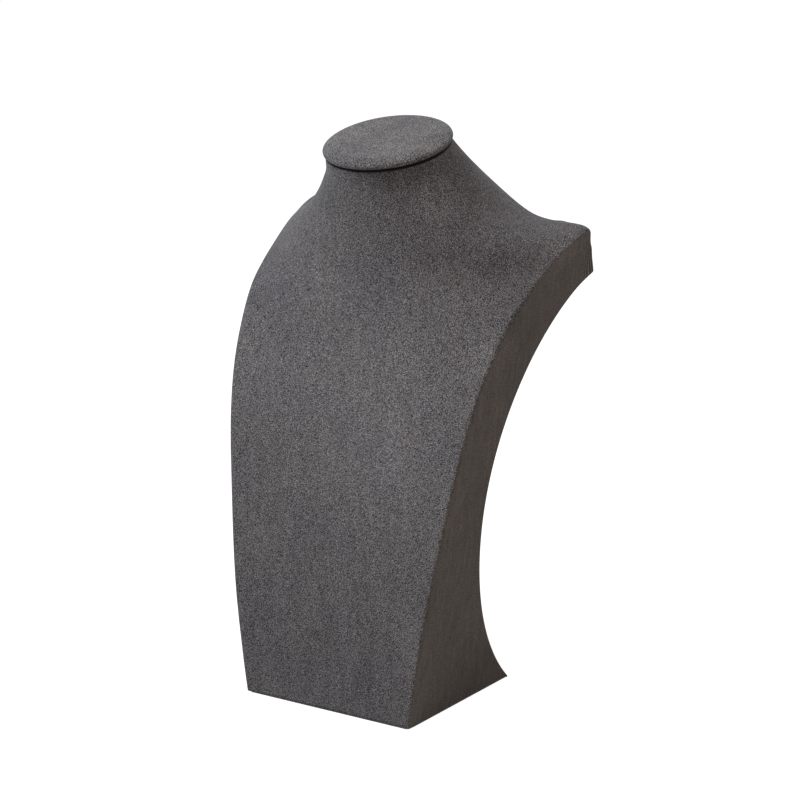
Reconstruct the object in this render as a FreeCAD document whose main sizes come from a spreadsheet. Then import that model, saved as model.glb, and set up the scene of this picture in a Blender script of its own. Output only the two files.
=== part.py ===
import FreeCAD, Part
import math
import os

import Sketcher
from FreeCAD import Placement, Rotation, Vector

# Necklace stand: a bust of chest, shoulders and neck, wrapped in microfibre, with a round cap on the neck.
# The origin is the centre of the foot on the surface it stands on. +Z is up and the chest faces -Y.

DOC = FreeCAD.newDocument("necklace_stand")

SIZES = {
    # Seen from the front, the sides are flat and lean outwards.
    "foot_half_width": 57.8,
    "side_lean": 0.1415,
    # Seen from the side, the hollow back is two arcs that meet upright at the waist. Above it the shoulders
    # have a flat rear rim, and the nape is one arc up to the cap.
    "foot_rear": 54.0,
    "waist_height": 118.2,
    "waist_depth": -2.5,
    "shoulder_rear": 84.5,
    "shoulder_height": 247.2,
    "nape_rear": 70.0,
    "nape_height": 290.0,
    "nape_rise": 45.0,
    "nape_slope": 0.707,
    "nape_radius": 96.7,
    "front_clear": 90.0,
    # Sheets.
    "cover_sheet": 0.9,
    "bottom_sheet_thick": 1.0,
    "bottom_sheet_inset": 1.6,
    "back_margin": 4.0,
    # The round cap leans forward on the neck.
    "cap_lean": 14.5,
    "cap_seat_rear": 10.7,
    "cap_seat_height": 322.7,
    "cap_radius": 36.8,
    "cap_foot_radius": 34.8,
    "cap_thick": 4.5,
    "cap_board_radius": 33.4,
    "cap_board_thick": 1.8,
    "cap_turn_in": 12.0,
}

# The line of the chest from below the foot up to the throat: height and depth.
FRONT_LINE = [(-12.0, -54.2), (20.0, -54.6), (66.0, -52.5), (135.0, -42.3), (180.0, -35.6), (240.0, -19.8),
              (288.0, -20.6), (316.5, -24.4)]

# Level curves of the chest, shoulders and neck are arcs about the neck, which start on the line of the chest.
# Each has its height there, its radius, its even rise to the rear, the lift that grows to the rear, its width
# against a true circle, and how far it reaches to each side. At the panel the front has gone flat.
ARCS = {
    "rim": (316.5, 32.7, 0.29, 0.0, 1.118, 97.1),
    "neck": (304.3, 36.8, 0.3, 0.0, 1.034, 109.0),
    "throat": (297.4, 43.5, 0.163, 0.012, 1.029, 125.0),
    "neck_root": (289.8, 60.1, -0.044, 0.004, 0.988, 144.0),
    "collar": (279.4, 73.8, -0.017, 0.004, 1.009, 157.0),
    "shoulder": (271.1, 90.5, -0.092, 0.143, 1.022, 163.0),
    "upper_chest": (256.1, 118.2, -0.034, -0.005, 1.002, 141.0),
    "chest": (233.9, 223.6, -0.015, -0.158, 1.0, 120.0),
    "lower_chest": (207.0, 440.5, 0.0, 0.0, 1.0, 111.0),
    "breast": (180.0, 834.9, 0.0, 0.0, 1.0, 105.0),
    "panel": (135.0, 20000.0, 0.0, 0.0, 1.0, 99.0),
    "panel_foot": (-12.0, 20000.0, 0.0, 0.0, 1.0, 80.0),
}
ARC_FIELDS = ("level", "arc", "rise", "lift", "widen", "reach")
HALF_COLUMNS = 14
TOP_STEP = 4.5
STEP_GROWTH = 1.04


def make_sheet():
    """The driving dimensions, each in a cell with an alias."""
    rows = dict(SIZES)
    for index, (height, depth) in enumerate(FRONT_LINE):
        rows["front%d_level" % index], rows["front%d_depth" % index] = height, depth
    for name, values in ARCS.items():
        rows.update(("%s_%s" % (name, field), value) for field, value in zip(ARC_FIELDS, values))
    sheet = DOC.addObject("Spreadsheet::Sheet", "Sizes")
    for row, (alias, value) in enumerate(rows.items(), 1):
        sheet.set("A%d" % row, alias)
        sheet.set("B%d" % row, str(value))
        sheet.setAlias("B%d" % row, alias)
    DOC.recompute()
    return sheet


SHEET = make_sheet()


def size(alias):
    return float(SHEET.get(alias))


def smooth(knots, height):
    """A value at a height on the smooth curve through (height, value) knots, which are given upwards."""
    last = len(knots) - 2
    index = min(max(sum(knot[0] <= height for knot in knots) - 1, 0), last)
    (low, start), (high, end) = knots[index], knots[index + 1]
    run = high - low
    before, after = knots[max(index - 1, 0)], knots[min(index + 2, last + 1)]
    start_slope = (end - before[1]) / (high - before[0])
    end_slope = (after[1] - start) / (after[0] - low)
    part = (height - low) / run
    back = 1 - part
    return (start * (1 + 2 * part) * back ** 2 + end * (3 - 2 * part) * part ** 2
            + run * part * back * (start_slope * back - end_slope * part))


def chest_depth(height):
    knots = [(size("front%d_level" % i), size("front%d_depth" % i)) for i in range(len(FRONT_LINE))]
    return smooth(knots, height)


def arc_value(field, height):
    return smooth([(size(name + "_level"), size(name + "_" + field)) for name in reversed(ARCS)], height)


def arc_bend(height):
    """How much the level curve bends, as one over its radius."""
    return smooth([(size(name + "_level"), 1 / size(name + "_arc")) for name in reversed(ARCS)], height)


def level_curve(height):
    """Points of one level curve, from its left end past the middle of the chest to its right end."""
    radius = 1 / arc_bend(height)
    rise, lift, widen, reach = (arc_value(field, height) for field in ("rise", "lift", "widen", "reach"))
    points = []
    for column in range(-HALF_COLUMNS, HALF_COLUMNS + 1):
        angle = reach * column / HALF_COLUMNS / radius
        behind = radius * (1 - math.cos(angle))
        points.append(Vector(widen * radius * math.sin(angle), chest_depth(height) + behind,
                             height + rise * behind + lift * behind ** 2 / 100))
    return points


def level_heights():
    """Heights of the level curves, close together at the neck and wider apart towards the foot."""
    height, step, heights = size("rim_level"), TOP_STEP, []
    while height > size("panel_foot_level"):
        heights.append(height)
        height, step = height - step, step * STEP_GROWTH
    return heights + [size("panel_foot_level")]


def sculpted_faces(inset):
    """The face of chest, shoulders and neck, moved inwards by an inset, and walls straight back from its ends."""
    grid = [level_curve(height) for height in level_heights()]
    if inset:
        grid = inner_grid(grid, inset)
    surface = Part.BSplineSurface()
    surface.interpolate(grid)
    back = Vector(0, size("shoulder_rear"), 0)
    ends = surface.bounds()[2:]
    return [surface.toShape()] + [surface.vIso(end).toShape().extrude(back) for end in ends]


def inner_grid(grid, inset):
    """Each point of a grid, moved square to the grid and into the form."""
    last_row, last_column = len(grid) - 1, len(grid[0]) - 1
    moved = []
    for i, row in enumerate(grid):
        moved.append([])
        for j, point in enumerate(row):
            down = grid[min(i + 1, last_row)][j] - grid[max(i - 1, 0)][j]
            across = row[min(j + 1, last_column)] - row[max(j - 1, 0)]
            moved[-1].append(point + across.cross(down).normalize() * inset)
    return moved


def bind(item, **expressions):
    for name, expression in expressions.items():
        item.setExpression(name.replace("__", "."), expression)
    return item


def outline_sketch(name, plane, corners, arcs):
    """A closed outline. Each corner is a pair of expressions, and arcs gives the bend of some of the sides."""
    sketch = DOC.addObject("Sketcher::SketchObject", name)
    sketch.Placement = plane
    spots = [Vector(value_of(across), value_of(up), 0) for across, up in corners]
    count = len(corners)
    for side in range(count):
        start, end = spots[side], spots[(side + 1) % count]
        if side in arcs:
            radius, turn = arcs[side]
            sketch.addGeometry(arc_between(start, end, value_of(radius), turn))
        else:
            sketch.addGeometry(Part.LineSegment(start, end))
    for side in range(count):
        ends = [(side, end_of(side, arcs)), ((side + 1) % count, start_of((side + 1) % count, arcs))]
        sketch.addConstraint(Sketcher.Constraint("Coincident", *ends[0], *ends[1]))
    for side, (across, up) in enumerate(corners):
        for kind, axis, expression in (("DistanceX", -2, across), ("DistanceY", -1, up)):
            value = value_of(expression)
            if value == 0:
                sketch.addConstraint(Sketcher.Constraint("PointOnObject", side, start_of(side, arcs), axis))
                continue
            index = sketch.addConstraint(Sketcher.Constraint(kind, side, start_of(side, arcs), value))
            sketch.setExpression("Constraints[%d]" % index, expression)
    for side, (radius, turn) in arcs.items():
        index = sketch.addConstraint(Sketcher.Constraint("Radius", side, value_of(radius)))
        sketch.setExpression("Constraints[%d]" % index, radius)
    return sketch


def start_of(side, arcs):
    """The number of the vertex where a side starts: an arc that turns clockwise is stored end first."""
    return 2 if side in arcs and arcs[side][1] < 0 else 1


def end_of(side, arcs):
    return 3 - start_of(side, arcs)


def value_of(expression):
    """The number that an expression of sheet cells stands for now."""
    probe = DOC.addObject("App::FeaturePython", "Probe")
    probe.addProperty("App::PropertyFloat", "Reading")
    probe.setExpression("Reading", expression)
    probe.recompute()
    value = probe.Reading
    DOC.removeObject(probe.Name)
    return value


def arc_between(start, end, radius, turn):
    """An arc of a radius from start to end, turning to the left where turn is 1 and to the right where -1."""
    middle, chord = (start + end) / 2, end - start
    offset = Vector(-chord.y, chord.x, 0).normalize() * math.sqrt(radius ** 2 - chord.Length ** 2 / 4) * turn
    centre = middle + offset
    first, last = (start, end) if turn > 0 else (end, start)
    angles = [math.atan2(spot.y - centre.y, spot.x - centre.x) for spot in (first, last)]
    return Part.ArcOfCircle(Part.Circle(centre, Vector(0, 0, 1), radius), angles[0], angles[1])


HEIGHT = "(Sizes.cap_seat_height + Sizes.cap_radius)"
SIDE_PLANE = Placement(Vector(), Rotation(Vector(1, 1, 1), 120))
FRONT_PLANE = Placement(Vector(), Rotation(Vector(1, 0, 0), 90))
WIDE = "(Sizes.foot_half_width + Sizes.side_lean * %s + Sizes.front_clear)" % HEIGHT


def side_wedge(name, inset):
    """The block between the two leaning sides, moved inwards by an inset."""
    slant = "%s * sqrt(1 + Sizes.side_lean ^ 2)" % inset
    foot = "Sizes.foot_half_width - %s" % slant
    top = "%s + Sizes.side_lean * %s" % (foot, HEIGHT)
    wedge = DOC.addObject("Part::Wedge", name)
    bind(wedge, Xmin="-(%s)" % foot, Xmax=foot, X2min="-(%s)" % top, X2max=top, Ymin="0", Ymax=HEIGHT,
         Zmin="-Sizes.shoulder_rear * 2", Z2min="-Sizes.shoulder_rear * 2", Zmax="Sizes.front_clear",
         Z2max="Sizes.front_clear")
    wedge.Placement = Placement(Vector(), Rotation(Vector(1, 0, 0), 90))
    return wedge


def hollow_radius(rear, rise):
    """The radius of an arc that leaves the waist upright and reaches a point further back."""
    run = "(Sizes.%s - Sizes.waist_depth)" % rear
    return "((%s) ^ 2 + %s ^ 2) / (2 * %s)" % (rise, run, run)


def back_outline():
    front, nape_top = "-Sizes.front_clear", "Sizes.nape_rear - Sizes.nape_rise * Sizes.nape_slope"
    corners = [(front, "0"), ("Sizes.foot_rear", "0"), ("Sizes.waist_depth", "Sizes.waist_height"),
               ("Sizes.shoulder_rear", "Sizes.shoulder_height"), ("Sizes.nape_rear", "Sizes.nape_height"),
               (nape_top, "Sizes.nape_height + Sizes.nape_rise"), (nape_top, HEIGHT), (front, HEIGHT)]
    arcs = {1: (hollow_radius("foot_rear", "Sizes.waist_height"), -1),
            2: (hollow_radius("shoulder_rear", "Sizes.shoulder_height - Sizes.waist_height"), -1),
            4: ("Sizes.nape_radius", 1)}
    return outline_sketch("back_outline", SIDE_PLANE, corners, arcs)


def across_block(name, outline):
    """An outline in the middle plane, drawn out to both sides past the shoulders."""
    block = DOC.addObject("Part::Extrusion", name)
    block.Base = outline
    block.DirMode = "Custom"
    block.Dir = Vector(1, 0, 0)
    block.Symmetric = True
    block.Solid = True
    bind(block, LengthFwd="2 * %s" % WIDE)
    return block


def moved_outline(name, outline, inset):
    moved = DOC.addObject("Part::Offset2D", name)
    moved.Source = outline
    moved.Join = "Tangent"
    bind(moved, Value="-(%s)" % inset)
    return moved


def standing_room():
    """The space between the bottom sheet and the seat of the cap, which the body fills."""
    floor = DOC.addObject("Part::Box", "above_bottom_sheet")
    bind(floor, Length="2 * %s" % WIDE, Width="2 * %s" % WIDE, Height=HEIGHT)
    bind(floor, Placement__Base__x="-%s" % WIDE, Placement__Base__y="-%s" % WIDE,
         Placement__Base__z="Sizes.bottom_sheet_thick")
    above = DOC.addObject("Part::Box", "above_seat")
    bind(above, Length="2 * %s" % WIDE, Width="2 * %s" % WIDE, Height=HEIGHT)
    middle = Placement(Vector(-value_of(WIDE), -value_of(WIDE), 0), Rotation())
    above.Placement = cap_place() * middle
    room = DOC.addObject("Part::Cut", "standing_room")
    room.Base, room.Tool = floor, above
    return room


def cap_place():
    """Where the cap sits: the middle of its underside, leaning forward with the top of the neck."""
    spot = Vector(0, size("cap_seat_rear"), size("cap_seat_height"))
    return Placement(spot, Rotation(Vector(1, 0, 0), size("cap_lean")))


def behind_face(block, inset):
    """The part of a block that lies behind the sculpted face."""
    pieces = block.generalFuse(sculpted_faces(inset))[0].Solids
    inside = Vector(0, (size("front2_depth") + size("waist_depth")) / 2, size("waist_height"))
    return [piece for piece in pieces if piece.isInside(inside, 0.01, False)][0]


def carved(name, parts, inset):
    """A body of the stand's form: the blocks in common, carved by the sculpted face."""
    block = DOC.addObject("Part::MultiCommon", name + "_block")
    block.Shapes = parts
    DOC.recompute()
    body = DOC.addObject("Part::Feature", name)
    body.Shape = behind_face(block.Shape, inset)
    return body


def cut(name, base, tool):
    piece = DOC.addObject("Part::Cut", name)
    piece.Base, piece.Tool = base, tool
    return piece


def make_body():
    """The core, the cover over front, neck and sides, and the cover of the hollow back."""
    room, outline = standing_room(), back_outline()
    inner_outline = moved_outline("inner_back_outline", outline, "Sizes.cover_sheet")
    outer_back, inner_back = across_block("outer_back", outline), across_block("inner_back", inner_outline)
    whole = carved("whole", [side_wedge("outer_sides", "0"), outer_back, room], 0)
    core = carved("core", [side_wedge("inner_sides", "Sizes.cover_sheet"), inner_back, room], size("cover_sheet"))
    back_cover = DOC.addObject("Part::MultiCommon", "back_cover")
    back_cover.Shapes = [cut("back_layer", outer_back, inner_back), side_wedge("panel_sides", "Sizes.back_margin"),
                         panel_reach()]
    front_cover = cut("front_cover", cut("wrap", whole, core), back_cover)
    return [core, front_cover, back_cover]


def panel_reach():
    """The room for the back cover, from the bottom sheet to just under the rear rim of the shoulders."""
    box = DOC.addObject("Part::Box", "panel_reach")
    bind(box, Length="2 * %s" % WIDE, Width="%s + Sizes.waist_depth + Sizes.front_clear" % WIDE,
         Height="Sizes.shoulder_height - Sizes.back_margin - Sizes.bottom_sheet_thick")
    bind(box, Placement__Base__x="-%s" % WIDE, Placement__Base__z="Sizes.bottom_sheet_thick",
         Placement__Base__y="Sizes.waist_depth - Sizes.cover_sheet * 2")
    return box


def make_bottom_sheet():
    sheet = DOC.addObject("Part::Box", "bottom_sheet")
    front = "(-Sizes.front1_depth - Sizes.bottom_sheet_inset)"
    half = "(Sizes.foot_half_width - Sizes.bottom_sheet_inset)"
    bind(sheet, Length="2 * %s" % half, Width="%s + Sizes.foot_rear - Sizes.bottom_sheet_inset" % front,
         Height="Sizes.bottom_sheet_thick", Placement__Base__x="-%s" % half, Placement__Base__y="-%s" % front)
    return sheet


def turned(name, sketch):
    """A solid turned about the axis of the cap."""
    solid = DOC.addObject("Part::Revolution", name)
    solid.Source = sketch
    solid.Axis = Vector(0, 0, 1)
    solid.Angle = 360
    solid.Solid = True
    return solid


def cap_outline():
    """Half the section of the cap: flat above and below and round at the rim."""
    foot, high = "Sizes.cap_foot_radius", "Sizes.cap_thick"
    bulge = "(Sizes.cap_radius - %s)" % foot
    rim = "(%s ^ 2 / 4 + %s ^ 2) / (2 * %s)" % (high, bulge, bulge)
    return outline_sketch("cap_outline", FRONT_PLANE, [("0", "0"), (foot, "0"), (foot, high), ("0", high)],
                          {1: (rim, 1)})


def disc(name, radius, height, low):
    """A round disc of the cap, at its height above the seat."""
    piece = DOC.addObject("Part::Cylinder", name)
    bind(piece, Radius=radius, Height=height)
    piece.Placement = cap_place() * Placement(Vector(0, 0, value_of(low)), Rotation())
    return piece


def make_cap():
    """The cap's stiff board, the foam on it and the sheet drawn over both and turned under."""
    outer = turned("cap_form", cap_outline())
    outer.Placement = cap_place()
    inner = disc("cap_filling", "Sizes.cap_radius - 2 * Sizes.cover_sheet",
                 "Sizes.cap_thick - 2 * Sizes.cover_sheet", "Sizes.cover_sheet")
    board = disc("neck_cap_board", "Sizes.cap_board_radius", "Sizes.cap_board_thick", "Sizes.cover_sheet")
    opening = disc("turn_in_edge", "Sizes.cap_foot_radius - Sizes.cap_turn_in", "Sizes.cover_sheet", "0")
    pad = cut("neck_cap_pad", inner, board)
    cover = cut("neck_cap_cover", cut("cap_wrap", outer, inner), opening)
    return [board, pad, cover]


def check_all(items):
    for item in items:
        if "Invalid" in item.State or "Error" in item.State:
            raise RuntimeError("%s failed: %s" % (item.Name, item.State))


def finished(item):
    """The shape of a finished piece, as one solid or a group of solids."""
    shape = item.Shape
    if shape.isNull() or not shape.isValid() or not shape.Solids:
        raise RuntimeError("%s has no valid solid" % item.Label)
    return shape.Solids[0] if len(shape.Solids) == 1 else Part.Compound(shape.Solids)


def main():
    body = make_body()
    cap = make_cap()
    bottom = make_bottom_sheet()
    DOC.recompute()
    check_all(DOC.Objects)
    os.makedirs("parts", exist_ok=True)
    for item in body + [bottom] + cap:
        shape = finished(item)
        print("%-16s %d solid  %10.0f mm3" % (item.Label, len(shape.Solids), shape.Volume))
        shape.exportStep("parts/%s.step" % item.Label)


main()
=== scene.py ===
import math

import bmesh
import bpy
import numpy as np
from mathutils import Matrix, Vector


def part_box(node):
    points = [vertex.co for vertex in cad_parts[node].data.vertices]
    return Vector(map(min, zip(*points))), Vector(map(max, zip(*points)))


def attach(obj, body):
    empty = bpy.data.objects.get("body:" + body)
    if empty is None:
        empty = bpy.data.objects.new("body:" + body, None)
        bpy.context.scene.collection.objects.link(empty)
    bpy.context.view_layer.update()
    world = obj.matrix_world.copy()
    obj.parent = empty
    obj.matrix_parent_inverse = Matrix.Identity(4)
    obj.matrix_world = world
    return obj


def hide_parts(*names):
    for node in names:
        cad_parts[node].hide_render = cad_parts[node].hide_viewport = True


# Necklace stand: a bust of chest, shoulders and neck wrapped in charcoal microfibre, with a round padded cap.
# Sizes here are in millimetres and meshes are made in metres.

MM = 0.001
FOOT_HALF_WIDTH = 57.8
SIDE_LEAN = 0.1415
WAIST_DEPTH, WAIST_HEIGHT = -2.5, 118.2
FOOT_REAR = 54.0
SHOULDER_REAR, SHOULDER_HEIGHT = 84.5, 247.2
NAPE_REAR, NAPE_HEIGHT, NAPE_RADIUS = 70.0, 290.0, 96.7
NAPE_RISE, NAPE_SLOPE = 45.0, 0.707
COVER = 0.9
BOTTOM_SHEET, BOTTOM_CORNER = 1.0, 2.0
HEM, BACK_MARGIN = 4.0, 4.1
CAP_LEAN, CAP_SEAT_REAR, CAP_SEAT_HEIGHT = 14.5, 10.7, 322.7
CAP_RADIUS, CAP_FOOT_RADIUS, CAP_THICK = 36.8, 34.8, 4.5
CAP_BOARD_RADIUS, CAP_BOARD_THICK, CAP_TURN_IN = 33.4, 1.8, 12.0
CAP_CROWN, PAD_CROWN = 0.6, 0.48
CAP_LIFT, CAP_SHOULDER, CAP_RIM_HEIGHT = 1.1, 7.0, 0.99
NECK_ROUNDING, NECK_LAP, LAP_RISE = 1.4, 8.0, 0.2
SEAM_DEPTH = 0.4
TIP_LIFT, TIP_ROUNDING, TIP_PASSES = 4.2, 14.0, 17
FIBREBOARD, FOAM = (0.42, 0.31, 0.2), (0.7, 0.7, 0.66)
CHARCOAL, CHARCOAL_CAST = (0.119, 0.116, 0.128), (0.122, 0.119, 0.122)
# The cap's cloth is painted lighter than the rest, as lit from above.
CAP_CHARCOAL_PAINTED_LIT, CAP_CAST_PAINTED_LIT = (0.133, 0.131, 0.141), (0.137, 0.134, 0.134)
# Painted shade in the crease between neck and cap.
PAINTED_CREASE_SHADE = (0.012, 0.011, 0.012)
# The leaning sides are painted warmer, partly as in their warm shade and partly as nap lying down.
SIDE_CHARCOAL_AND_SHADE, SIDE_CAST_AND_SHADE = (0.13, 0.1165, 0.109), (0.1285, 0.1135, 0.104)

# Finish of the cloth. A relief is its strength and its depth. Strokes are noise drawn out along the height.
STROKE_STRETCH = 0.13
NAP_RELIEF, GATHER_RELIEF, GATHER_SHADE = (0.25, 0.25), (0.9, 0.45), 0.7
# On the leaning sides the grain is fainter, partly as it looks in shade and partly as nap lying down.
SIDE_NAP_AND_SHADE = {"Grain contrast": 3.0, "Cloud contrast": 0.5, "Strokes": 420.0, "Stroke contrast": 0.7}
CAP_NAP = {"Clouds": 40.0, "Cloud contrast": 0.7}
# Where the pleats under a tip fade out and are full: inwards from the rear rim, below and above its corner.
FAN_INWARDS, FAN_BELOW, FAN_ABOVE = (13.0, 5.0), (-17.0, -7.0), (24.0, 6.0)

# Where hands have brushed the nap lighter or pressed it darker, and where light and shade are painted on it:
# middle, reach, how much.
BRUSHED_AND_PAINTED_LIGHT = [
    # Lighter places on the chest, brushed into the nap.
    ((27.0, -38.0, 165.0), (95.0, 60.0, 85.0), 0.27),
    ((6.0, -20.0, 245.0), (72.0, 50.0, 50.0), 0.12),
    ((-48.0, -36.0, 188.0), (46.0, 50.0, 42.0), 0.16),
    # Painted light on the near edge of the chest, under the shoulder tip.
    ((86.0, -12.0, 219.0), (24.0, 32.0, 26.0), 0.24),
    # Lighter places on the chest, brushed into the nap.
    ((36.0, -38.0, 160.0), (13.0, 30.0, 36.0), 0.14),
    ((57.0, -53.0, 50.0), (20.0, 30.0, 54.0), 0.1),
    # Painted light on the near side of the neck and on the near shoulder tip.
    ((42.0, 0.0, 302.0), (26.0, 26.0, 26.0), 0.45),
    ((97.0, 48.0, 266.0), (18.0, 34.0, 18.0), 0.36),
    # Painted shade on the neck under the cap.
    ((14.0, -18.0, 311.0), (28.0, 16.0, 11.0), -0.2),
    ((-24.0, -14.0, 295.0), (28.0, 20.0, 18.0), -0.2),
    # A darker smudge where the nap was pressed, low on the front.
    ((-9.0, -54.0, 46.5), (12.0, 20.0, 4.5), -0.16),
    # Darker low on the near side.
    ((58.0, 10.0, -6.0), (20.0, 70.0, 76.0), -0.25),
]

# Where the cloth near a shoulder's rear tip is fuller, bunched or sunk: place, reach, push.
TIP_TOUCHES = [
    ((92.8, 84.5, 247.2), 9.0, (0.8, 1.0, 0.0)),
    ((66.0, 72.5, 279.0), 12.0, (0.0, 0.0, -0.75)),
    ((89.0, 73.5, 276.5), 8.0, (0.3, 0.0, 1.4)),
]
TIP_FULLNESS = 15.0, (1.4, 0.4, TIP_LIFT)

# Height and depth of the line down the middle of the chest.
FRONT_LINE = [(-12.0, -54.2), (20.0, -54.6), (66.0, -52.5), (135.0, -42.3), (180.0, -35.6), (240.0, -19.8),
              (288.0, -20.6), (316.5, -24.4)]
# Level curves about the neck: height in front, radius, even rise to the rear, growing lift, widening, reach.
LEVELS = [
    (-12.0, 20000.0, 0.0, 0.0, 1.0, 80.0),
    (135.0, 20000.0, 0.0, 0.0, 1.0, 99.0),
    (180.0, 834.9, 0.0, 0.0, 1.0, 105.0),
    (207.0, 440.5, 0.0, 0.0, 1.0, 111.0),
    (233.9, 223.6, -0.015, -0.158, 1.0, 120.0),
    (256.1, 118.2, -0.034, -0.005, 1.002, 141.0),
    (271.1, 90.5, -0.092, 0.143, 1.022, 163.0),
    (279.4, 73.8, -0.017, 0.004, 1.009, 157.0),
    (289.8, 60.1, -0.044, 0.004, 0.988, 144.0),
    (297.4, 43.5, 0.163, 0.012, 1.029, 125.0),
    (304.3, 36.8, 0.3, 0.0, 1.034, 109.0),
    (316.5, 32.7, 0.29, 0.0, 1.118, 97.1),
]

# The grid of the cover: how fine it is, how far its columns crowd at the ends, and where extra rows lie.
NECK_TOP = 310.4
FRONT_COLUMNS, FRONT_CROWDING = 56, 0.1
SIDE_COLUMNS, SIDE_CROWDING = 14, 0.35
NAPE_PARTS = (-0.62, -0.3, -0.1, -0.02, 0, 0.02, 0.1, 0.3, 0.62)
ROW_STEP, LEAST_STEP = 3.7, 0.4
RIM_ROWS = (-HEM, -HEM / 2, -0.8, 0, 0.8, 2.2)
CURVE_SAMPLES, LEVEL_SAMPLES, HALVINGS = 900, 700, 30
WELD = 0.02
# Points round and along the cap and over the back, and where the cap's top, rounding and tuck end along it.
CAP_GRID, BACK_GRID = (145, 64), (49, 97)
CAP_TURNS = (0.36, 0.68, 0.84)


# The form

def smooth(levels, values, height):
    """Values at heights on the smooth curve through the given ones."""
    levels, values, height = (np.asarray(item, float) for item in (levels, values, height))
    last = len(levels) - 2
    index = np.clip(np.searchsorted(levels, height, side="right") - 1, 0, last)
    low, high, start, end = levels[index], levels[index + 1], values[index], values[index + 1]
    before, after = np.maximum(index - 1, 0), np.minimum(index + 2, last + 1)
    start_slope = (end - values[before]) / (high - levels[before])
    end_slope = (values[after] - start) / (levels[after] - low)
    part = (height - low) / (high - low)
    back = 1 - part
    return (start * (1 + 2 * part) * back ** 2 + end * (3 - 2 * part) * part ** 2
            + (high - low) * part * back * (start_slope * back - end_slope * part))


def level_value(column, height):
    levels = [level[0] for level in LEVELS]
    if column == 1:
        return 1 / smooth(levels, [1 / level[1] for level in LEVELS], height)
    return smooth(levels, [level[column] for level in LEVELS], height)


def chest(height, along):
    """Points of the chest, shoulders and neck: at a level, so far along its curve from the middle."""
    radius, rise, lift, widen = (level_value(column, height) for column in (1, 2, 3, 4))
    front = smooth(*zip(*FRONT_LINE), height)
    behind = radius * (1 - np.cos(along / radius))
    return np.stack([widen * radius * np.sin(along / radius), front + behind,
                     height + rise * behind + lift * behind ** 2 / 100], -1)


def side(height):
    """Half the width between the leaning sides."""
    return FOOT_HALF_WIDTH + SIDE_LEAN * height


def hollow(height):
    """How far back the hollow back is at a height, up to the rear rim of the shoulders."""
    above = height > WAIST_HEIGHT
    run = np.where(above, SHOULDER_REAR, FOOT_REAR) - WAIST_DEPTH
    rise = np.where(above, SHOULDER_HEIGHT - WAIST_HEIGHT, WAIST_HEIGHT)
    radius = (run ** 2 + rise ** 2) / (2 * run)
    return WAIST_DEPTH + radius - np.sqrt(radius ** 2 - (height - WAIST_HEIGHT) ** 2)


def nape_centre():
    """The centre of the arc of the nape, in depth and height."""
    low = np.array([NAPE_REAR, NAPE_HEIGHT])
    high = low + np.array([-NAPE_RISE * NAPE_SLOPE, NAPE_RISE])
    chord = high - low
    length = np.hypot(*chord)
    turned = np.array([-chord[1], chord[0]]) / length
    return (low + high) / 2 + turned * math.sqrt(NAPE_RADIUS ** 2 - length ** 2 / 4)


def rear(height):
    """How far back the form reaches at a height."""
    height = np.asarray(height, float)
    slope = (NAPE_REAR - SHOULDER_REAR) / (NAPE_HEIGHT - SHOULDER_HEIGHT)
    rim = SHOULDER_REAR + slope * (height - SHOULDER_HEIGHT)
    depth, level = nape_centre()
    nape = depth + np.sqrt(np.maximum(NAPE_RADIUS ** 2 - (height - level) ** 2, 0))
    return np.where(height < SHOULDER_HEIGHT, hollow(np.minimum(height, SHOULDER_HEIGHT)),
                    np.where(height < NAPE_HEIGHT, rim, nape))


def neck_end(depth):
    """Where the wall of the neck starts to turn in, just under the leaning seat of the cap."""
    lean = math.radians(CAP_LEAN)
    return CAP_SEAT_HEIGHT + math.tan(lean) * (depth - CAP_SEAT_REAR) - NECK_ROUNDING / math.cos(lean)


# The grid of the cover

def row_end(height):
    """Where a level curve meets the leaning side or the rear: its length, and whether it meets the side."""
    along = np.linspace(0, float(level_value(5, height)), CURVE_SAMPLES)
    points = chest(np.full_like(along, height), along)
    over_side, over_rear = points[:, 0] - side(points[:, 2]), points[:, 1] - rear(points[:, 2])
    meets = np.maximum(over_side, over_rear)
    first = int(np.argmax(meets >= 0))
    part = -meets[first - 1] / (meets[first] - meets[first - 1])
    length = along[first - 1] + part * (along[first] - along[first - 1])
    return length, bool(over_side[first] >= over_rear[first])


def corner_level():
    """The level whose curve ends at the rear tip of the shoulder."""
    low, high = 250.0, 285.0
    for _ in range(HALVINGS):
        middle = (low + high) / 2
        low, high = (middle, high) if row_end(middle)[1] else (low, middle)
    return low


def cover_levels():
    """Levels of the grid's rows from the foot to just under the seat, and the level of the tips."""
    dense = np.linspace(BOTTOM_SHEET, NECK_TOP, LEVEL_SAMPLES)
    ends = np.array([row_end(height)[0] for height in dense])
    spans = np.stack([chest(dense, ends * part) for part in (0, 0.35, 0.7, 1)])
    steps = np.linalg.norm(np.diff(spans, axis=1), axis=2).max(axis=0)
    travel = np.concatenate([[0], np.cumsum(steps)])
    corner = corner_level()
    tip = spans[3]
    below = dense < corner
    marks = [corner] + [float(np.interp(height, tip[below, 2], dense[below]))
                        for height in SHOULDER_HEIGHT + np.array(RIM_ROWS)]
    widest = chest(corner, row_end(corner)[0])[0]
    for inset in (HEM / 2, HEM):
        wanted = widest * (1 - inset / side(SHOULDER_HEIGHT))
        marks.append(float(np.interp(-wanted, -tip[~below, 0], dense[~below])))
    marks += [dense[0], dense[-1]]
    placed = np.interp(marks, dense, travel)
    even = [spot for spot in np.arange(0, travel[-1], ROW_STEP)
            if np.abs(placed - spot).min() > ROW_STEP * LEAST_STEP]
    return np.sort(np.concatenate([np.interp(even, travel, dense), marks])), corner


def column_parts():
    """Places of the columns across the front, closer together towards both ends."""
    even = np.linspace(-1, 1, FRONT_COLUMNS + 1)
    return even + FRONT_CROWDING * np.sin(math.pi * even) / math.pi


def side_parts():
    """Places of the columns over a side, from the front fold to the rear edge, closer at the rear."""
    even = np.linspace(0, 1, SIDE_COLUMNS + 1)
    return even + SIDE_CROWDING * even * (1 - even)


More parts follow.
